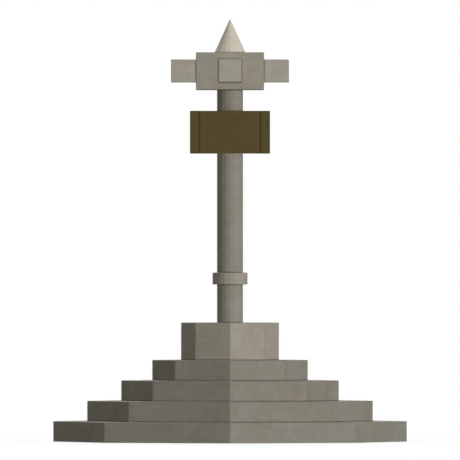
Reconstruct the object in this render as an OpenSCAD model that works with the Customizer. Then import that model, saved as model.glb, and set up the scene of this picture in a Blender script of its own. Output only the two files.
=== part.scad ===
/* [Steps] */
// Distance from the centre to a corner of the bottom step
step_1_r = 1770; // [1600:10:2400]
// Distance from the centre to a corner of the second step
step_2_r = 1430; // [1300:10:1600]
// Distance from the centre to a corner of the third step
step_3_r = 1090; // [950:10:1250]
// Distance from the centre to a corner of the top step
step_4_r = 780; // [680:10:950]
// Height of each step
riser = 204; // [150:1:260]
// How far each course reaches in under the one above
bearing = 120; // [60:5:160]
// Mortar joint between two stones of a course
joint_w = 6; // [3:1:12]

/* [Socket stone] */
// Distance from the centre to a corner of the socket stone
socket_r = 490; // [400:10:600]
// Height of the socket stone
socket_h = 374; // [300:1:450]

/* [Shaft] */
// Width of the shaft across its corners
shaft_d = 260; // [245:5:320]
// Number of flats worked on the shaft, the ring and the cone
flats = 20; // [16:4:32]
// Height of the shaft from the socket stone to the head
shaft_h = 2325; // [2180:5:2800]
// Diameter of the tenon at the foot of the shaft
foot_d = 200; // [140:5:230]
// Length of the tenon at the foot of the shaft
foot_l = 150; // [80:5:200]
// Width of the ring across its corners
ring_d = 350; // [300:5:420]
// Height of the ring
ring_h = 120; // [90:5:180]
// Height of the ring above the socket stone
ring_lift = 380; // [250:5:1200]
// Diameter of the joggles that join the two lengths of shaft inside the ring
joggle_d = 110; // [80:5:160]

/* [Timber box] */
// Width of the box across its posts
box_w = 800; // [700:10:900]
// Height of the box
box_h = 425; // [380:5:500]
// Height of the box above the socket stone
box_lift = 1690; // [1300:5:1850]
// Width of each square corner post
post_w = 95; // [80:5:110]
// Thickness of the boards between the posts
board_t = 50; // [40:1:60]
// How far the boards stand back from the faces of the posts
board_back = 4; // [0:1:12]
// Thickness of the tongues at the ends of the boards
tongue_t = 18; // [12:1:24]
// Length of those tongues
tongue_l = 20; // [12:1:30]
// Thickness of the lid boards
lid_t = 35; // [25:1:45]
// Width of each bearer, seen from above
bearer_w = 80; // [60:5:100]
// Height of each bearer
bearer_h = 90; // [60:5:110]
// How deep the bearers are housed in the shaft
housing = 15; // [10:1:25]
// Height of the lower bearers above the bottom of the box
bearer_lift = 40; // [0:5:60]

/* [Head] */
// Width of the square head block
head_w = 680; // [600:10:760]
// Height of the head block
head_h = 375; // [340:5:450]
// Width of the square arms
arm_w = 230; // [180:5:260]
// How far each arm stands out from the head block
arm_reach = 250; // [150:5:320]
// Height of the arms above the bottom of the head block
arm_lift = 75; // [55:5:100]
// Width of the square tenon of each arm
arm_tenon_w = 120; // [80:5:150]
// Length of the tenon of each arm
arm_tenon_l = 120; // [60:5:150]
// Diameter of the tenon at the top of the shaft
neck_d = 140; // [100:5:180]
// Length of the tenon at the top of the shaft
neck_l = 90; // [60:5:110]
// Width of the foot of the cone across its corners
cone_d = 310; // [250:5:380]
// Height of the cone
cone_h = 330; // [250:5:450]
// Width of the blunt tip of the cone
tip_d = 8; // [4:1:20]
// Diameter of the dowel under the cone
dowel_d = 60; // [40:5:80]
// Length of the dowel under the cone
dowel_l = 90; // [60:5:120]

/* [Fits] */
// Bedding gap round each tenon, joggle and dowel
bed_gap = 3; // [1:0.5:6]
// Gap between loosely fitted timbers
wood_gap = 1; // [0.5:0.5:3]
// Chamfer along the dressed arrises of the stones
arris = 4; // [3:1:12]
// Chamfer along the outer arrises of the timbers
wood_arris = 4; // [2:1:8]

/* [Hidden] */

step_colour = [0.54, 0.52, 0.47];
block_colour = [0.60, 0.58, 0.52];
cap_colour = [0.72, 0.69, 0.63];
rubble_colour = [0.45, 0.43, 0.39];
oak_colour = [0.33, 0.28, 0.18];

sides = 8;
round_fn = 96;
quarter_turn = 90;

// Distance from the centre to the middle of a side of an octagon
function apothem(r) = r * cos(180 / sides);
// Distance from the centre to a corner of an octagon
function corner(a) = a / cos(180 / sides);

// Outline of a round member worked to flats, with a corner on each axis
function flat_outline(r) = [for (i = [0 : flats - 1]) r * [cos(i * 360 / flats), sin(i * 360 / flats)]];

// Corner radii from the ground up, ending with the stone that the top course carries
course_r = [step_1_r, step_2_r, step_3_r, step_4_r, socket_r];
courses = len(course_r) - 1;
function kerb_inner(i) = apothem(course_r[i + 1]) - bearing;

steps_h = courses * riser;
socket_top = steps_h + socket_h;
ring_z = socket_top + ring_lift;
ring_top = ring_z + ring_h;
joggle_l = ring_h / 2 - bed_gap;
shaft_r = shaft_d / 2;
head_z = socket_top + shaft_h;
head_top = head_z + head_h;

box_z = socket_top + box_lift;
box_top = box_z + box_h;
box_half = box_w / 2;
post_inner = box_half - post_w;
board_outer = box_half - board_back;
board_inner = board_outer - board_t;
lid_z = box_top - lid_t;
bearer_in = shaft_r - housing;
lower_bearer_z = box_z + bearer_lift;
upper_bearer_z = lid_z - bearer_h;

// Cuts the top arris of one side: the edge runs along Y at distance a from the centre and height z
module arris_cut(a, z, length, size) {
    translate([a, 0, z]) rotate([0, 45, 0])
        cube([size * sqrt(2), length, size * sqrt(2)], center = true);
}

// A block centred on the Z axis with all twelve arrises chamfered
module dressed_block(w, d, h, size) {
    difference() {
        translate([-w / 2, -d / 2, 0]) cube([w, d, h]);
        for (end = [0, 1], side = [0, 1]) {
            rotate(180 * side) arris_cut(w / 2, h * end, 2 * d, size);
            rotate(quarter_turn + 180 * side) arris_cut(d / 2, h * end, 2 * w, size);
        }
        for (x = [-1, 1], y = [-1, 1])
            translate([x * w / 2, y * d / 2, h / 2]) rotate(45)
                cube([size * sqrt(2), size * sqrt(2), 2 * h], center = true);
    }
}

// A round member worked to flats, standing on z = 0
module flat_prism(r, h) {
    linear_extrude(h) polygon(flat_outline(r));
}

// The same, but narrowing or widening from r at its foot to top_r
module flat_taper(r, top_r, h) {
    linear_extrude(h, scale = top_r / r) polygon(flat_outline(r));
}

// One stone of a course, facing +X: its profile runs along the side and is mitred at both ends
module kerb_stone(outer_r, inner_a) {
    a = apothem(outer_r);
    tip_x = joint_w / 2 / sin(180 / sides);
    far = outer_r + riser;
    far_y = (far - tip_x) * tan(180 / sides);
    intersection() {
        translate([0, outer_r, 0]) rotate([quarter_turn, 0, 0]) linear_extrude(2 * outer_r)
            polygon([[inner_a, 0], [a, 0], [a, riser - arris], [a - arris, riser], [inner_a, riser]]);
        linear_extrude(riser) polygon([[tip_x, 0], [far, -far_y], [far, far_y]]);
    }
}

// A whole course: one stone on each side of the octagon
module course(i) {
    color(step_colour) translate([0, 0, i * riser])
        for (s = [0 : sides - 1])
            rotate((s + 0.5) * 360 / sides) kerb_stone(course_r[i], kerb_inner(i));
}

module first_step() {
    course(0);
}

module second_step() {
    course(1);
}

module third_step() {
    course(2);
}

module fourth_step() {
    course(3);
}

// Rubble in mortar that fills each course inside its stones
module rubble_core() {
    color(rubble_colour)
        for (i = [0 : courses - 1])
            translate([0, 0, i * riser]) cylinder(r = corner(kerb_inner(i)), h = riser, $fn = sides);
}

// Octagonal block with a round mortise for the foot of the shaft
module socket_stone() {
    a = apothem(socket_r);
    color(block_colour) translate([0, 0, steps_h]) difference() {
        cylinder(r = socket_r, h = socket_h, $fn = sides);
        for (s = [0 : sides - 1])
            rotate((s + 0.5) * 360 / sides) arris_cut(a, socket_h, 2 * socket_r, arris);
        translate([0, 0, socket_h - foot_l - bed_gap])
            cylinder(d = foot_d + 2 * bed_gap, h = foot_l + 2 * bed_gap, $fn = round_fn);
    }
}

// Length of shaft below the ring, with a tenon at its foot and a joggle on top
module lower_shaft() {
    color(step_colour) translate([0, 0, socket_top]) {
        flat_prism(shaft_r, ring_lift);
        translate([0, 0, -foot_l]) cylinder(d = foot_d, h = 2 * foot_l, $fn = round_fn);
        cylinder(d = joggle_d, h = ring_lift + joggle_l, $fn = round_fn);
    }
}

// Ring stone that the two lengths of shaft are joggled into
module shaft_ring() {
    r = ring_d / 2;
    color(block_colour) translate([0, 0, ring_z]) difference() {
        union() {
            flat_taper(r - arris, r, arris);
            translate([0, 0, arris]) flat_prism(r, ring_h - 2 * arris);
            translate([0, 0, ring_h - arris]) flat_taper(r, r - arris, arris);
        }
        translate([0, 0, -arris])
            cylinder(d = joggle_d + 2 * bed_gap, h = ring_h + 2 * arris, $fn = round_fn);
    }
}

// Housing for a pair of bearers that run along X on both sides of the shaft
module bearer_housings(z) {
    for (side = [0, 1])
        rotate(180 * side) translate([-shaft_d, bearer_in, z]) cube([2 * shaft_d, shaft_d, bearer_h]);
}

// Length of shaft above the ring, housed for the bearers, with a tenon into the head
module upper_shaft() {
    color(step_colour) difference() {
        union() {
            translate([0, 0, ring_top]) flat_prism(shaft_r, head_z - ring_top);
            translate([0, 0, ring_top - joggle_l])
                cylinder(d = joggle_d, h = 2 * joggle_l, $fn = round_fn);
            translate([0, 0, head_z - neck_l]) cylinder(d = neck_d, h = 2 * neck_l, $fn = round_fn);
        }
        bearer_housings(lower_bearer_z);
        rotate(quarter_turn) bearer_housings(upper_bearer_z);
    }
}

// Groove for a board's tongue in the face of the front right post that looks towards -X
module tongue_groove() {
    translate([post_inner - 1, -board_outer + (board_t - tongue_t) / 2, box_z - 1])
        cube([tongue_l + wood_gap + 1, tongue_t, box_h + 2]);
}

// The front right post: a square timber grooved on its two inner faces
module post() {
    color(oak_colour) difference() {
        translate([box_half - post_w / 2, -box_half + post_w / 2, box_z])
            dressed_block(post_w, post_w, box_h, wood_arris);
        tongue_groove();
        mirror([1, 1, 0]) tongue_groove();
    }
}

module front_right_post() {
    post();
}

module front_left_post() {
    mirror([1, 0, 0]) post();
}

module back_right_post() {
    mirror([0, 1, 0]) post();
}

module back_left_post() {
    rotate(180) post();
}

// The front board: it fills the space between two posts and is tongued into both
module board() {
    color(oak_colour) {
        translate([-post_inner, -board_outer, box_z])
            cube([2 * post_inner, board_t, box_h]);
        translate([-post_inner - tongue_l, -board_outer + (board_t - tongue_t) / 2, box_z])
            cube([2 * (post_inner + tongue_l), tongue_t, box_h]);
    }
}

module front_board() {
    board();
}

module right_board() {
    rotate(quarter_turn) board();
}

module back_board() {
    rotate(180) board();
}

module left_board() {
    rotate(-quarter_turn) board();
}

// The right half of the lid, notched round the posts and cut round the shaft
module lid_board() {
    edge = board_inner - wood_gap;
    notch = post_inner - wood_gap;
    color(oak_colour) difference() {
        translate([wood_gap / 2, -edge, lid_z]) cube([edge - wood_gap / 2, 2 * edge, lid_t]);
        for (y = [0, 1])
            mirror([0, y, 0]) translate([notch, notch, lid_z - 1]) cube([box_half, box_half, lid_t + 2]);
        translate([0, 0, lid_z - 1]) flat_prism(shaft_r + wood_gap, lid_t + 2);
    }
}

module right_lid_board() {
    lid_board();
}

module left_lid_board() {
    mirror([1, 0, 0]) lid_board();
}

// A bearer along X behind the shaft, housed in it and butted between two boards
module bearer(z) {
    color(oak_colour) translate([-board_inner, bearer_in, z])
        cube([2 * board_inner, bearer_w, bearer_h]);
}

module back_bearer() {
    bearer(lower_bearer_z);
}

module front_bearer() {
    rotate(180) bearer(lower_bearer_z);
}

module left_bearer() {
    rotate(quarter_turn) bearer(upper_bearer_z);
}

module right_bearer() {
    rotate(-quarter_turn) bearer(upper_bearer_z);
}

// Square block that caps the shaft, with mortises for the shaft, the arms and the cone
module head_block() {
    mortise_w = arm_tenon_w + 2 * bed_gap;
    mortise_z = arm_lift + (arm_w - mortise_w) / 2;
    color(block_colour) translate([0, 0, head_z]) difference() {
        dressed_block(head_w, head_w, head_h, arris);
        translate([0, 0, -bed_gap])
            cylinder(d = neck_d + 2 * bed_gap, h = neck_l + 2 * bed_gap, $fn = round_fn);
        translate([0, 0, head_h - dowel_l - bed_gap])
            cylinder(d = dowel_d + 2 * bed_gap, h = dowel_l + 2 * bed_gap, $fn = round_fn);
        for (s = [0 : 3])
            rotate(s * quarter_turn)
                translate([head_w / 2 - arm_tenon_l - bed_gap, -mortise_w / 2, mortise_z])
                    cube([arm_tenon_l + 2 * bed_gap, mortise_w, mortise_w]);
    }
}

// The right arm: a square stone with a tenon into the head block
module arm() {
    tenon_z = (arm_w - arm_tenon_w) / 2;
    color(cap_colour) translate([head_w / 2, 0, head_z + arm_lift]) {
        difference() {
            translate([0, -arm_w / 2, 0]) cube([arm_reach, arm_w, arm_w]);
            for (end = [0, 1])
                arris_cut(arm_reach, arm_w * end, 2 * arm_w, arris);
            for (y = [-1, 1], z = [0, 1])
                translate([0, y * arm_w / 2, arm_w * z]) rotate([45, 0, 0])
                    cube([3 * arm_reach, arris * sqrt(2), arris * sqrt(2)], center = true);
            for (y = [-1, 1])
                translate([arm_reach, y * arm_w / 2, 0]) rotate(45)
                    cube([arris * sqrt(2), arris * sqrt(2), 3 * arm_w], center = true);
        }
        translate([-arm_tenon_l, -arm_tenon_w / 2, tenon_z])
            cube([arm_tenon_l + arris, arm_tenon_w, arm_tenon_w]);
    }
}

module right_arm() {
    arm();
}

module back_arm() {
    rotate(quarter_turn) arm();
}

module left_arm() {
    rotate(180) arm();
}

module front_arm() {
    rotate(-quarter_turn) arm();
}

// Cone that ends the cross, worked to flats, with a dowel into the head block
module cone_cap() {
    color(cap_colour) translate([0, 0, head_top]) {
        flat_taper(cone_d / 2, tip_d / 2, cone_h);
        translate([0, 0, -dowel_l]) cylinder(d = dowel_d, h = 2 * dowel_l, $fn = round_fn);
    }
}

first_step();
second_step();
third_step();
fourth_step();
rubble_core();
socket_stone();
lower_shaft();
shaft_ring();
upper_shaft();
front_left_post();
front_right_post();
back_left_post();
back_right_post();
front_board();
back_board();
left_board();
right_board();
left_lid_board();
right_lid_board();
front_bearer();
back_bearer();
left_bearer();
right_bearer();
head_block();
front_arm();
back_arm();
left_arm();
right_arm();
cone_cap();
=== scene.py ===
"""Looks of the market cross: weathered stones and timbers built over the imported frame."""

import math
import random

import bmesh
import bpy
import numpy as np
from mathutils import Matrix, Vector, noise
from mathutils.bvhtree import BVHTree


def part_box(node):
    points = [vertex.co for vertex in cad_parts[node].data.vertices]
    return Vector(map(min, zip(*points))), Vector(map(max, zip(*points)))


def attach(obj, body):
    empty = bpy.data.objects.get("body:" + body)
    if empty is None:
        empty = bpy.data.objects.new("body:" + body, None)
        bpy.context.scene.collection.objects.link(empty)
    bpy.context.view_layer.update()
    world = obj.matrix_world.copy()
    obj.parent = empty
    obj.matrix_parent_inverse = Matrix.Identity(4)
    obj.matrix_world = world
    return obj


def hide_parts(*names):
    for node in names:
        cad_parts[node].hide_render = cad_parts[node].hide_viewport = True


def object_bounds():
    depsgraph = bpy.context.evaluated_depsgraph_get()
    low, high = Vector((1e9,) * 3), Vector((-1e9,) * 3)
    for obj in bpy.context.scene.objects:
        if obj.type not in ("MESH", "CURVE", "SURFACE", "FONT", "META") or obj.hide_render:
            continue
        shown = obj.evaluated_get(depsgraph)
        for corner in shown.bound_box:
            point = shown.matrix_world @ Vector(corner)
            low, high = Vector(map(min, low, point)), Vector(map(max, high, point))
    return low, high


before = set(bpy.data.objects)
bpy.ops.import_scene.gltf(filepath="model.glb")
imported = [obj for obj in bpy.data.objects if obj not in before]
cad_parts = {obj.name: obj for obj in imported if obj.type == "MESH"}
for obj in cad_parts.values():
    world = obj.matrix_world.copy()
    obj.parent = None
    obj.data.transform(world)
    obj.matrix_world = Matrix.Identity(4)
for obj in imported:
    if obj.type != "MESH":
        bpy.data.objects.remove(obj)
cad_low, cad_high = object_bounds()

SEED = 7

# Camera: the height that it frames, how much of that lies below the ground and how far off it
# stands, in metres, and its sensor in millimetres
FRAME_HEIGHT = 4.6
FOOT_MARGIN = 0.185
CAMERA_DISTANCE = 200.0
SENSOR = 36.0

# Lamps: (name, azimuth right of the front, elevation, strength, angular size, casts shadows),
# with the angles in degrees
LAMPS = [
    ("key", 50, 8, 2.14, 0, False),
    ("front_fill", 0, 8, 0.82, 0, False),
    ("left_fill", -98, 10, 0.25, 0, False),
    ("top", 0, 90, 0.80, 30, True),
    ("top_fill", 0, 90, 1.00, 0, False),
    ("back_fill", -160, 15, 0.85, 0, False),
    ("soft_back", -175, 25, 1.14, 30, True),
]
AMBIENT = 0.03

# Floor: its radius, and where it starts and ends fading to white, in half widths of the cross,
# how far below the cross it lies, in metres, and the grey that the cross sees of it
FLOOR_RADIUS = 4.0
FADE_START = 1.1
FADE_END = 2.2
FLOOR_DROP = 0.001
FLOOR_BOUNCE = 0.20
WHITE = (1.0, 1.0, 1.0, 1.0)

# Linear colours of the clean stone and timber
STEP_STONE = (0.252, 0.233, 0.192)
# The shaft's stone is the step stone lightened: painted light for the light the steps get back
# from their treads
SHAFT_STONE_WITH_PAINTED_LIGHT = (0.275, 0.255, 0.210)
BLOCK_STONE = (0.335, 0.308, 0.248)
CAP_STONE = (0.406, 0.378, 0.315)
# The cone's stone is the cap stone lightened: painted light on its upturned flats
CONE_STONE_WITH_PAINTED_LIGHT = (0.539, 0.497, 0.414)
MORTAR = (0.245, 0.227, 0.186)
OAK = (0.124, 0.091, 0.034)

# How dark the arrises, tops and corners of the stones and the tops of the mortar joints are
# painted,
# next to their sides: painted shade on the arrises against their highlights, grime and painted
# shade on the tops against the light from above, and dirt and painted shade in the corners
ARRIS_PAINTED_SHADE = 0.6
TOP_GRIME_AND_SHADE = 0.76
CORNER_DIRT_AND_SHADE = 0.32
MORTAR_TOP_GRIME_AND_SHADE = 0.85

# Specular levels of stone and of timber, which have both gone dull
STONE_GLOSS = 0.1
OAK_GLOSS = 0.01

# Most values of a noise texture lie between these
NOISE_LOW = 0.3
NOISE_HIGH = 0.7

# How far the dirt and painted shade spread from a corner where two pieces meet, in metres
CONTACT_REACH = 0.013

# Angles in degrees: up to the first two faces are one flat, over the second an edge is crisp,
# and over the third it is rounded
FLAT_ANGLE = 0.5
CREASE_ANGLE = 10
ROUNDED_ANGLE = 30

# Points closer than WELD are one, and a corner closer than TOUCHING to another piece meets it.
# Pieces over SEARCH_REACH away don't count. All are in metres
WELD = 1e-5
TOUCHING = 0.002
SEARCH_REACH = 0.3
REFINE_ROUNDS = 4

# How far apart the textures of two stones may be taken, in metres
TEXTURE_SHIFT = 50

# How each kind of piece is dressed, in metres: round is the rounding of its edges, cell and fine
# are the sizes of its faces in the open and in darkened corners, rim is how far the wear and
# painted shade of an edge reach, uneven and wear are how deep its faces and edges are worn, flats
# is the number of flats of a round member, and grain turns its longest side along the grain
LOOKS = {
    "step": {"round": 0.002, "cell": 0.05, "rim": 0.012, "fine": 0.012, "uneven": 0.0015,
             "wear": 0.004, "flats": 0, "grain": False},
    "block": {"round": 0.002, "cell": 0.035, "rim": 0.010, "fine": 0.010, "uneven": 0.0010,
              "wear": 0.003, "flats": 0, "grain": False},
    "round": {"round": 0.002, "cell": 0.05, "rim": 0.010, "fine": 0.010, "uneven": 0.0006,
              "wear": 0.002, "flats": 20, "grain": False},
    "timber": {"round": 0.002, "cell": 0.04, "rim": 0.008, "fine": 0.008, "uneven": 0.0006,
               "wear": 0.0015, "flats": 0, "grain": True},
}

STEPS = ["first_step", "second_step", "third_step", "fourth_step"]
STEP_SIDES = 8
# Mortar in the mitred joints: half its width, how far back it stands and its lap on the core
JOINT_HALF = 0.0045
JOINT_BACK = 0.003
JOINT_LAP = 0.02


# ---------------------------------------------------------------- node helpers

class Graph:
    """Short hands for building the nodes of a material or a world."""

    def __init__(self, owner, output="ShaderNodeOutputMaterial"):
        self.owner = owner
        owner.use_nodes = True
        self.tree = owner.node_tree
        self.tree.nodes.clear()
        self.output = self.add(output)

    def add(self, kind, inputs=None, **settings):
        node = self.tree.nodes.new(kind)
        for key, value in settings.items():
            setattr(node, key, value)
        for key, value in (inputs or {}).items():
            self.put(value, node.inputs[key])
        return node

    def put(self, value, socket):
        if isinstance(value, bpy.types.NodeSocket):
            self.tree.links.new(value, socket)
        else:
            socket.default_value = value

    def attribute(self, name, kind="Fac"):
        return self.add("ShaderNodeAttribute", attribute_name=name).outputs[kind]

    def noise(self, vector, scale, detail, roughness, distortion=0.0):
        node = self.add("ShaderNodeTexNoise", {
            "Vector": vector, "Scale": scale, "Detail": detail, "Roughness": roughness,
            "Distortion": distortion})
        return node.outputs["Fac"]

    def spots(self, vector, scale):
        """The distance from the middle of the nearest of many scattered spots."""
        node = self.add("ShaderNodeTexVoronoi", {"Vector": vector, "Scale": scale})
        return node.outputs["Distance"]

    def stretch(self, vector, scale):
        return self.add("ShaderNodeMapping", {"Vector": vector, "Scale": scale}).outputs["Vector"]

    def remap(self, value, low, high, to_low=0.0, to_high=1.0):
        node = self.add("ShaderNodeMapRange", {
            "Value": value, "From Min": low, "From Max": high, "To Min": to_low,
            "To Max": to_high})
        return node.outputs["Result"]

    def fade(self, value, at_none, at_full):
        """at_none where value is 0 and at_full where it is 1."""
        return self.remap(value, 0.0, 1.0, at_none, at_full)

    def vary(self, value, low, high):
        """A noise texture's value turned into one from low to high."""
        return self.remap(value, NOISE_LOW, NOISE_HIGH, low, high)

    def math(self, operation, a, b):
        return self.add("ShaderNodeMath", {0: a, 1: b}, operation=operation).outputs[0]

    def product(self, *factors):
        total = factors[0]
        for factor in factors[1:]:
            total = self.math("MULTIPLY", total, factor)
        return total

    def level(self):
        """1 on a level top, where grime and painted shade go, and 0 on a wall and on what faces
        down.
        """
        normal = self.add("ShaderNodeNewGeometry").outputs["True Normal"]
        return self.remap(self.add("ShaderNodeSeparateXYZ", {0: normal}).outputs["Z"], 0.45, 0.95)

    def tinted(self, colour, factor):
        """colour, a socket or four numbers, times a grey factor."""
        grey = self.add("ShaderNodeCombineColor", {"Red": factor, "Green": factor, "Blue": factor})
        node = self.add("ShaderNodeMix", data_type="RGBA", blend_type="MULTIPLY")
        self.put(1.0, node.inputs["Factor"])
        self.put(colour, node.inputs[6])
        self.put(grey.outputs["Color"], node.inputs[7])
        return node.outputs[2]

    def mixed(self, factor, a, b):
        """A mix of the colours a and b."""
        node = self.add("ShaderNodeMix", data_type="RGBA")
        self.put(factor, node.inputs["Factor"])
        self.put((*a, 1.0), node.inputs[6])
        self.put((*b, 1.0), node.inputs[7])
        return node.outputs[2]

    def relief(self, *layers):
        """Bumps over bumps, each given as (height, depth in metres, strength)."""
        inputs = {}
        for height, distance, strength in layers:
            inputs.update({"Height": height, "Distance": distance, "Strength": strength})
            inputs["Normal"] = self.add("ShaderNodeBump", inputs).outputs["Normal"]
        return inputs["Normal"]

    def mix_shaders(self, factor, a, b):
        return self.add("ShaderNodeMixShader", {0: factor, 1: a, 2: b}).outputs[0]

    def finish(self, shader):
        self.put(shader, self.output.inputs["Surface"])
        return self.owner

    def principled(self, base, normal, roughness, gloss):
        """Ends a material with one Principled shader."""
        node = self.add("ShaderNodeBsdfPrincipled", {
            "Base Color": base, "Normal": normal, "Roughness": roughness,
            "Specular IOR Level": gloss})
        return self.finish(node.outputs["BSDF"])


def toned(colour, factors):
    """colour with each channel times its own factor."""
    return tuple(c * f for c, f in zip(colour, factors))


def stone_material(name, colour):
    """Dressed sandstone: mottled, faintly bedded, tooled and pitted, with dirt and painted shade
    in its corners, painted shade on its arrises and grime and painted shade on its tops.
    """
    g = Graph(bpy.data.materials.new(name))
    local = g.attribute("local", "Vector")
    edge, contact_nearness, stone = (g.attribute(key) for key in ("edge", "contact_nearness", "stone"))
    # Sizes in mm: patches 400, clouds 80, beds 20, tool marks 3, grains 2, and pits 20 apart
    patches = g.noise(local, 2.6, 5.0, 0.6)
    clouds = g.noise(local, 13.0, 5.0, 0.65)
    beds = g.noise(g.stretch(local, (1.2, 1.2, 26.0)), 2.0, 4.0, 0.6, 0.3)
    grain = g.noise(local, 420.0, 2.0, 0.7)
    tooling = g.noise(g.stretch(local, (9.0, 9.0, 110.0)), 3.0, 2.0, 0.5, 0.4)
    pit = g.remap(g.spots(local, 55.0), 0.05, 0.22)
    # Grime and painted shade on the tops, against the light from above
    top_grime_and_shade = g.product(g.level(), g.vary(patches, 0.85, 1.15))
    # Dirt and painted shade in the corners where other pieces meet
    corner_dirt_and_shade = g.product(contact_nearness, g.vary(clouds, 0.75, 1.1))
    tone = g.product(
        g.vary(patches, 0.92, 1.08), g.vary(clouds, 0.93, 1.07), g.vary(beds, 0.95, 1.05),
        g.vary(grain, 0.93, 1.07), g.fade(pit, 0.86, 1.01), g.fade(stone, 0.98, 1.02),
        # Painted shade along the arrises, against the highlights they catch
        g.remap(edge, 0.7, 1.0, 1.0, ARRIS_PAINTED_SHADE), g.fade(top_grime_and_shade, 1.0, TOP_GRIME_AND_SHADE),
        g.fade(corner_dirt_and_shade, 1.0, CORNER_DIRT_AND_SHADE))
    warm = toned(colour, (1.015, 1.0, 0.97))
    cool = toned(colour, (0.985, 1.0, 1.03))
    base = g.tinted(g.mixed(g.remap(patches, 0.35, 0.65), warm, cool), tone)
    normal = g.relief((clouds, 0.004, 0.5), (tooling, 0.0012, 0.6), (pit, 0.0015, 0.5),
                      (grain, 0.0006, 0.6))
    return g.principled(base, normal, g.vary(grain, 0.82, 0.94), STONE_GLOSS)


def oak_material(name, colour):
    """Weathered oak: rings round a pith, so that faces show long figure and ends show arcs."""
    g = Graph(bpy.data.materials.new(name))
    local = g.attribute("local", "Vector")
    edge, contact_nearness, board = (g.attribute(key) for key in ("edge", "contact_nearness", "stone"))
    # Widths across the grain, which runs along X, in mm: wander 140, rings 12, checks 14, fibres 3
    wander = g.noise(g.stretch(local, (1.2, 7.0, 7.0)), 1.0, 2.0, 0.5)
    rings = g.add("ShaderNodeTexWave", {
        "Vector": g.stretch(local, (0.15, 1.0, 1.0)), "Scale": 26.0, "Distortion": 5.0,
        "Detail": 2.0, "Detail Scale": 1.4},
        wave_type="RINGS", rings_direction="X", wave_profile="SAW").outputs["Fac"]
    fibres = g.noise(g.stretch(local, (6.0, 320.0, 320.0)), 1.0, 3.0, 0.6)
    check = g.remap(g.noise(g.stretch(local, (2.5, 70.0, 70.0)), 1.0, 2.0, 0.5), 0.66, 0.74)
    # The arrises are darkened as painted shade, and the corners by dirt and painted shade
    tone = g.product(
        g.fade(rings, 0.93, 1.06), g.vary(fibres, 0.9, 1.1), g.vary(wander, 0.93, 1.07),
        g.fade(board, 0.96, 1.04), g.fade(check, 1.0, 0.7), g.fade(edge, 1.0, 0.9),
        g.fade(contact_nearness, 1.0, 0.5))
    grey = toned(colour, (0.9, 0.95, 1.15))
    base = g.tinted(g.mixed(g.remap(wander, 0.35, 0.65), colour, grey), tone)
    normal = g.relief((rings, 0.0008, 0.5), (fibres, 0.0006, 0.7),
                      (g.math("SUBTRACT", 1.0, check), 0.0015, 0.7))
    return g.principled(base, normal, g.vary(fibres, 0.82, 0.96), OAK_GLOSS)


def mortar_material(name, colour):
    """Lime mortar and rubble: sandy, with small pebbles."""
    g = Graph(bpy.data.materials.new(name))
    where = g.add("ShaderNodeTexCoord").outputs["Object"]
    # Sizes in mm: sand 3, lumps 70, and pebbles 17 apart
    sand = g.noise(where, 300.0, 3.0, 0.7)
    lumps = g.noise(where, 14.0, 3.0, 0.6)
    # Its tops are darkened: grime and painted shade against the light from above
    tone = g.product(g.vary(sand, 0.88, 1.1), g.vary(lumps, 0.92, 1.08),
                     g.fade(g.level(), 1.0, MORTAR_TOP_GRIME_AND_SHADE))
    normal = g.relief((sand, 0.0012, 0.8), (g.spots(where, 60.0), 0.003, 0.4))
    base = g.tinted((*colour, 1.0), tone)
    return g.principled(base, normal, g.vary(sand, 0.88, 0.97), STONE_GLOSS)


# ---------------------------------------------------------------- mesh helpers

def as_array(vector):
    return np.array(vector[:])


def islands(bm):
    """The faces of each solid in bm."""
    left = set(bm.faces)
    found = []
    while left:
        stack, group = [left.pop()], []
        while stack:
            face = stack.pop()
            group.append(face)
            for e in face.edges:
                for f in e.link_faces:
                    if f in left:
                        left.discard(f)
                        stack.append(f)
        found.append(group)
    return found


def facing(points):
    """The direction from the axis of the cross to the middle of a solid's points."""
    return math.atan2(points[:, 1].mean(), points[:, 0].mean())


def solids_of(node):
    """Each solid of a CAD node as (points, faces), with its flat faces whole."""
    bm = bmesh.new()
    bm.from_mesh(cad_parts[node].data)
    bmesh.ops.remove_doubles(bm, verts=bm.verts, dist=WELD)
    bmesh.ops.dissolve_limit(bm, angle_limit=math.radians(FLAT_ANGLE), verts=bm.verts,
                             edges=bm.edges)
    found = []
    for group in islands(bm):
        verts = sorted({v for f in group for v in f.verts}, key=lambda v: v.index)
        index = {v: i for i, v in enumerate(verts)}
        faces = [[index[v] for v in f.verts] for f in group]
        found.append((np.array([v.co[:] for v in verts]), faces))
    bm.free()
    found.sort(key=lambda solid: facing(solid[0]))
    return found


def others_near(node, turn):
    """The surfaces of the other nodes, turned as the stone that is being dressed."""
    low, high = map(as_array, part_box(node))
    spin = np.array(Matrix.Rotation(-turn, 3, "Z"))
    points, faces = [], []
    for other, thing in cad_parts.items():
        if other == node:
            continue
        other_low, other_high = map(as_array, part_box(other))
        if (other_low > high + CONTACT_REACH).any() or (other_high < low - CONTACT_REACH).any():
            continue
        start = len(points)
        points += [tuple(spin @ as_array(v.co)) for v in thing.data.vertices]
        faces += [[start + i for i in f.vertices] for f in thing.data.polygons]
    return BVHTree.FromPolygons(points, faces)


def cut(bm, place, normal):
    geometry = bm.verts[:] + bm.edges[:] + bm.faces[:]
    bmesh.ops.bisect_plane(bm, geom=geometry, dist=WELD, plane_co=place, plane_no=normal)


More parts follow.
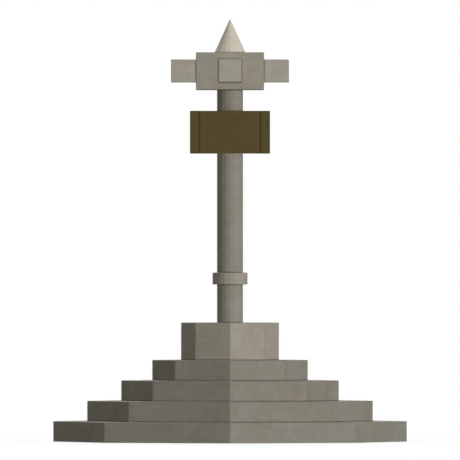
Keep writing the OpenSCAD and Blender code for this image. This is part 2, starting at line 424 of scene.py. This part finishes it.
def cut_grid(bm, look):
    """Cuts bm square to its axes, one rim in from both ends and every cell between, and a round
    member by planes up through its axis instead of square to X and Y."""
    for axis in range(3):
        if look["flats"] and axis < 2:
            continue
        values = [v.co[axis] for v in bm.verts]
        low, high = min(values), max(values)
        steps = max(1, round((high - low - 2 * look["rim"]) / look["cell"]))
        normal = Vector((0, 0, 0))
        normal[axis] = 1.0
        for place in np.linspace(low + look["rim"], high - look["rim"], steps + 1):
            cut(bm, normal * place, normal)
    for i in range(look["flats"] // 2):
        angle = (i + 0.5) * math.tau / look["flats"]
        cut(bm, (0, 0, 0), (math.sin(angle), -math.cos(angle), 0))


def gap_to(others, point, reach):
    """How far the nearest other piece is from point, or reach where none is nearer."""
    found = others.find_nearest(point, reach)[3]
    return reach if found is None else found


def refine(bm, others, size):
    """Splits the faces along the corners where other pieces meet this one."""
    for _ in range(REFINE_ROUNDS):
        edges = set()
        for f in bm.faces:
            longest = max(e.calc_length() for e in f.edges)
            darkened_reach = CONTACT_REACH + 0.6 * longest
            if longest < size or gap_to(others, f.calc_center_median(), SEARCH_REACH) > darkened_reach:
                continue
            if any(gap_to(others, v.co, SEARCH_REACH) > TOUCHING for v in f.verts):
                edges.update(f.edges)
        if not edges:
            break
        bmesh.ops.subdivide_edges(bm, edges=list(edges), cuts=1, use_grid_fill=True)


def near_edges(points, segments):
    """Distance from each point to the nearest of the segments."""
    best = np.full(len(points), np.inf)
    for a, b in segments:
        d = b - a
        t = np.clip(((points - a) @ d) / (d @ d), 0, 1)
        best = np.minimum(best, np.linalg.norm(points - a - t[:, None] * d, axis=1))
    return best


def shaped(solid, look, turn, others):
    """One solid turned to face X, with its edges rounded and its faces cut up, and the lines on
    which its edges lay."""
    points, faces = solid
    spin = Matrix.Rotation(-turn, 3, "Z")
    bm = bmesh.new()
    verts = [bm.verts.new(spin @ Vector(p)) for p in points]
    for f in faces:
        bm.faces.new([verts[i] for i in f])
    bm.normal_update()
    angles = {e: math.degrees(e.calc_face_angle(0)) for e in bm.edges if e.is_manifold}
    for e, angle in angles.items():
        e.smooth = not CREASE_ANGLE < angle <= ROUNDED_ANGLE
    rounded = [e for e, angle in angles.items() if angle > ROUNDED_ANGLE]
    lines = [tuple(as_array(v.co) for v in e.verts) for e in rounded]
    bmesh.ops.bevel(bm, geom=rounded, offset=look["round"], offset_type="OFFSET", segments=2,
                    profile=0.5, affect="EDGES", clamp_overlap=True)
    cut_grid(bm, look)
    refine(bm, others, look["fine"])
    bmesh.ops.triangulate(bm, faces=[f for f in bm.faces if len(f.verts) > 4])
    bm.normal_update()
    bm.verts.index_update()
    return bm, lines


def wear_depth(bm, look, edge, shift):
    """How deep each vertex is worn: broad and small hollows all over, and chips along the edges.
    The numbers are waves in a metre, and shares of the look's own depths."""
    swell = np.array([noise.noise(v.co * 3.0 + shift) + 0.4 * noise.noise(v.co * 14.0 + shift)
                      for v in bm.verts])
    chips = np.array([noise.noise(v.co * 22.0 - shift) for v in bm.verts])
    depth = look["uneven"] * (0.5 + 0.36 * swell) + look["wear"] * edge * np.clip(chips, 0, 1)
    return np.clip(depth, 0, None)


def texture_place(co, look, shift, rng):
    """Where each vertex lies in the textures: another part of them for each stone or timber. A
    timber lies along X, a little way off the pith of its tree."""
    middle = (co.max(0) + co.min(0)) / 2
    size = co.max(0) - co.min(0)
    local = co - middle
    if not look["grain"]:
        return local + as_array(shift) * 0.2
    local = local[:, np.argsort(-size)]
    local[:, 1:] += np.array([rng.uniform(0.05, 0.12), rng.uniform(-0.1, 0.1)])
    local[:, 0] += rng.uniform(-3, 3)
    return local


def dress(solid, look, turn, rng, others):
    """One solid as a weathered mesh: its points and faces, crisp edges and shader attributes."""
    bm, lines = shaped(solid, look, turn, others)
    co = np.array([v.co[:] for v in bm.verts])
    normals = np.array([v.normal[:] for v in bm.verts])
    edge = np.clip(1.0 - near_edges(co, lines) / look["rim"], 0, 1)
    gaps = np.array([gap_to(others, v.co, CONTACT_REACH) for v in bm.verts])
    shift = Vector([rng.uniform(-TEXTURE_SHIFT, TEXTURE_SHIFT) for _ in range(3)])
    worn = co - normals * wear_depth(bm, look, edge, shift)[:, None]
    back = np.array(Matrix.Rotation(turn, 3, "Z"))
    made = {
        "points": worn @ back.T,
        "faces": [[v.index for v in f.verts] for f in bm.faces],
        "crisp": {tuple(sorted(v.index for v in e.verts)) for e in bm.edges if not e.smooth},
        "edge": edge,
        "contact_nearness": 1.0 - gaps / CONTACT_REACH,
        "local": texture_place(co, look, shift, rng),
    }
    bm.free()
    return made


def add_object(name, mesh, material):
    mesh.materials.append(material)
    thing = bpy.data.objects.new(name, mesh)
    bpy.context.scene.collection.objects.link(thing)
    return thing


def piece_from(name, parts, material):
    """One object from dressed solids, with the attributes that its material reads."""
    faces, crisp, stone = [], set(), []
    start = 0
    for number, part in enumerate(parts):
        faces += [[i + start for i in f] for f in part["faces"]]
        crisp |= {(a + start, b + start) for a, b in part["crisp"]}
        # The golden ratio keeps the tones of neighbouring stones apart
        stone.append(np.full(len(part["points"]), (number * 0.618034) % 1.0))
        start += len(part["points"])
    joined = {key: np.concatenate([part[key] for part in parts])
              for key in ("points", "edge", "contact_nearness", "local")}
    joined["stone"] = np.concatenate(stone)
    mesh = bpy.data.meshes.new(name)
    mesh.from_pydata(joined["points"].tolist(), [], faces)
    for key in ("edge", "contact_nearness", "stone"):
        attribute = mesh.attributes.new(key, "FLOAT", "POINT")
        attribute.data.foreach_set("value", joined[key])
    attribute = mesh.attributes.new("local", "FLOAT_VECTOR", "POINT")
    attribute.data.foreach_set("vector", joined["local"].ravel())
    mesh.shade_smooth()
    if crisp:
        sharp = [tuple(sorted(e.vertices)) in crisp for e in mesh.edges]
        mesh.attributes.new("sharp_edge", "BOOLEAN", "EDGE").data.foreach_set("value", sharp)
    piece = add_object(name, mesh, material)
    normals = piece.modifiers.new("weighted", "WEIGHTED_NORMAL")
    normals.weight = 80
    normals.keep_sharp = True
    return piece


def dress_node(node, look_name, material, turned=False):
    """The weathered piece that stands for a CAD node. Where it is turned, each of its solids is
    dressed as if it faced X."""
    rng = random.Random(f"{SEED}-{node}")
    parts = []
    for solid in solids_of(node):
        turn = facing(solid[0]) if turned else 0.0
        parts.append(dress(solid, LOOKS[look_name], turn, rng, others_near(node, turn)))
    piece = piece_from(node + "_worn", parts, material)
    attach(piece, "root")
    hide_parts(node)


def point_joints(node, material):
    """Mortar in the mitred joints of a course, a little back from the faces of its stones."""
    radii = [math.hypot(v.co.x, v.co.y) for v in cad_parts[node].data.vertices]
    inner, outer = min(radii) - JOINT_LAP, max(radii) - JOINT_BACK
    low, high = (corner.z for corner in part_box(node))
    top = high - JOINT_BACK
    slope = 2 * JOINT_BACK
    outline = [(inner, low), (outer, low), (outer, top - slope), (outer - slope, top),
               (inner, top)]
    bm = bmesh.new()
    for corner in range(STEP_SIDES):
        turn = Matrix.Rotation(corner * math.tau / STEP_SIDES, 3, "Z")
        near, far = ([bm.verts.new(turn @ Vector((r, side * JOINT_HALF, z))) for r, z in outline]
                     for side in (-1, 1))
        bm.faces.new(near)
        bm.faces.new(reversed(far))
        for i in range(len(outline)):
            j = (i + 1) % len(outline)
            bm.faces.new((near[j], near[i], far[i], far[j]))
    bmesh.ops.recalc_face_normals(bm, faces=bm.faces)
    mesh = bpy.data.meshes.new(node + "_mortar")
    bm.to_mesh(mesh)
    bm.free()
    piece = add_object(node + "_mortar", mesh, material)
    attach(piece, "root")


# ---------------------------------------------------------------- stage

def make_camera():
    data = bpy.data.cameras.new("camera")
    data.sensor_width = SENSOR
    data.lens = SENSOR * CAMERA_DISTANCE / FRAME_HEIGHT
    data.clip_start = 1.0
    data.clip_end = 2 * CAMERA_DISTANCE
    camera = bpy.data.objects.new("camera", data)
    camera.location = (0, -CAMERA_DISTANCE, cad_low.z + FRAME_HEIGHT / 2 - FOOT_MARGIN)
    camera.rotation_euler = (math.radians(90), 0, 0)
    bpy.context.scene.collection.objects.link(camera)
    bpy.context.scene.camera = camera


def make_lamps():
    for name, azimuth, elevation, strength, size, casts in LAMPS:
        data = bpy.data.lights.new(name, "SUN")
        data.energy = strength
        data.angle = math.radians(size)
        data.use_shadow = casts
        lamp = bpy.data.objects.new(name, data)
        a, e = math.radians(azimuth), math.radians(elevation)
        towards = Vector((math.sin(a) * math.cos(e), -math.cos(a) * math.cos(e), math.sin(e)))
        lamp.rotation_mode = "QUATERNION"
        lamp.rotation_quaternion = towards.to_track_quat("Z", "Y")
        bpy.context.scene.collection.objects.link(lamp)


def make_world():
    """White to the camera and in reflections, a soft ambient light to everything else."""
    world = bpy.data.worlds.new("studio")
    bpy.context.scene.world = world
    g = Graph(world, "ShaderNodeOutputWorld")
    rays = g.add("ShaderNodeLightPath").outputs
    seen = g.math("MAXIMUM", rays["Is Camera Ray"], rays["Is Glossy Ray"])
    seen = g.math("MAXIMUM", seen, rays["Is Transmission Ray"])
    ambient = g.add("ShaderNodeBackground", {"Color": WHITE, "Strength": AMBIENT})
    white = g.add("ShaderNodeBackground", {"Color": WHITE})
    g.finish(g.mix_shaders(seen, ambient.outputs[0], white.outputs[0]))


def make_floor():
    """A pale disc that fades to white away from the cross and keeps its shadow. The cross itself
    sees a duller one, so that little light comes up from it."""
    g = Graph(bpy.data.materials.new("floor"))
    where = g.add("ShaderNodeTexCoord").outputs["Object"]
    distance = g.add("ShaderNodeVectorMath", {0: where}, operation="LENGTH").outputs["Value"]
    faded = g.remap(distance, FADE_START * cad_high.x, FADE_END * cad_high.x)
    lit = g.add("ShaderNodeBsdfDiffuse", {"Color": WHITE})
    dull = g.add("ShaderNodeBsdfDiffuse", {"Color": (*[FLOOR_BOUNCE] * 3, 1.0)})
    white = g.add("ShaderNodeEmission", {"Color": WHITE})
    shown = g.mix_shaders(faded, lit.outputs[0], white.outputs[0])
    camera_ray = g.add("ShaderNodeLightPath").outputs["Is Camera Ray"]
    bm = bmesh.new()
    bmesh.ops.create_circle(bm, cap_ends=True, radius=FLOOR_RADIUS * cad_high.x, segments=96)
    mesh = bpy.data.meshes.new("floor")
    bm.to_mesh(mesh)
    bm.free()
    floor = add_object("floor", mesh, g.finish(g.mix_shaders(camera_ray, dull.outputs[0], shown)))
    floor.location.z = cad_low.z - FLOOR_DROP


# ---------------------------------------------------------------- the cross

bpy.context.scene.view_settings.view_transform = "Standard"
make_camera()
make_lamps()
make_world()
make_floor()

step_stone = stone_material("step_stone", STEP_STONE)
shaft_stone_with_painted_light = stone_material("shaft_stone_with_painted_light", SHAFT_STONE_WITH_PAINTED_LIGHT)
block_stone = stone_material("block_stone", BLOCK_STONE)
cap_stone = stone_material("cap_stone", CAP_STONE)
cone_stone_with_painted_light = stone_material("cone_stone_with_painted_light", CONE_STONE_WITH_PAINTED_LIGHT)
oak = oak_material("oak", OAK)
mortar = mortar_material("mortar", MORTAR)

for node in STEPS:
    dress_node(node, "step", step_stone, turned=True)
    point_joints(node, mortar)
dress_node("socket_stone", "block", block_stone)
dress_node("lower_shaft", "round", shaft_stone_with_painted_light)
dress_node("upper_shaft", "round", shaft_stone_with_painted_light)
dress_node("shaft_ring", "round", block_stone)
dress_node("head_block", "block", block_stone)
for side in ("front", "back", "left", "right"):
    dress_node(side + "_arm", "block", cap_stone)
    dress_node(side + "_board", "timber", oak)
    dress_node(side + "_bearer", "timber", oak)
for corner in ("front_left", "front_right", "back_left", "back_right"):
    dress_node(corner + "_post", "timber", oak)
for side in ("left", "right"):
    dress_node(side + "_lid_board", "timber", oak)
dress_node("cone_cap", "round", cone_stone_with_painted_light)

# The rubble inside keeps its CAD mesh
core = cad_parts["rubble_core"].data
core.materials.clear()
core.materials.append(mortar)
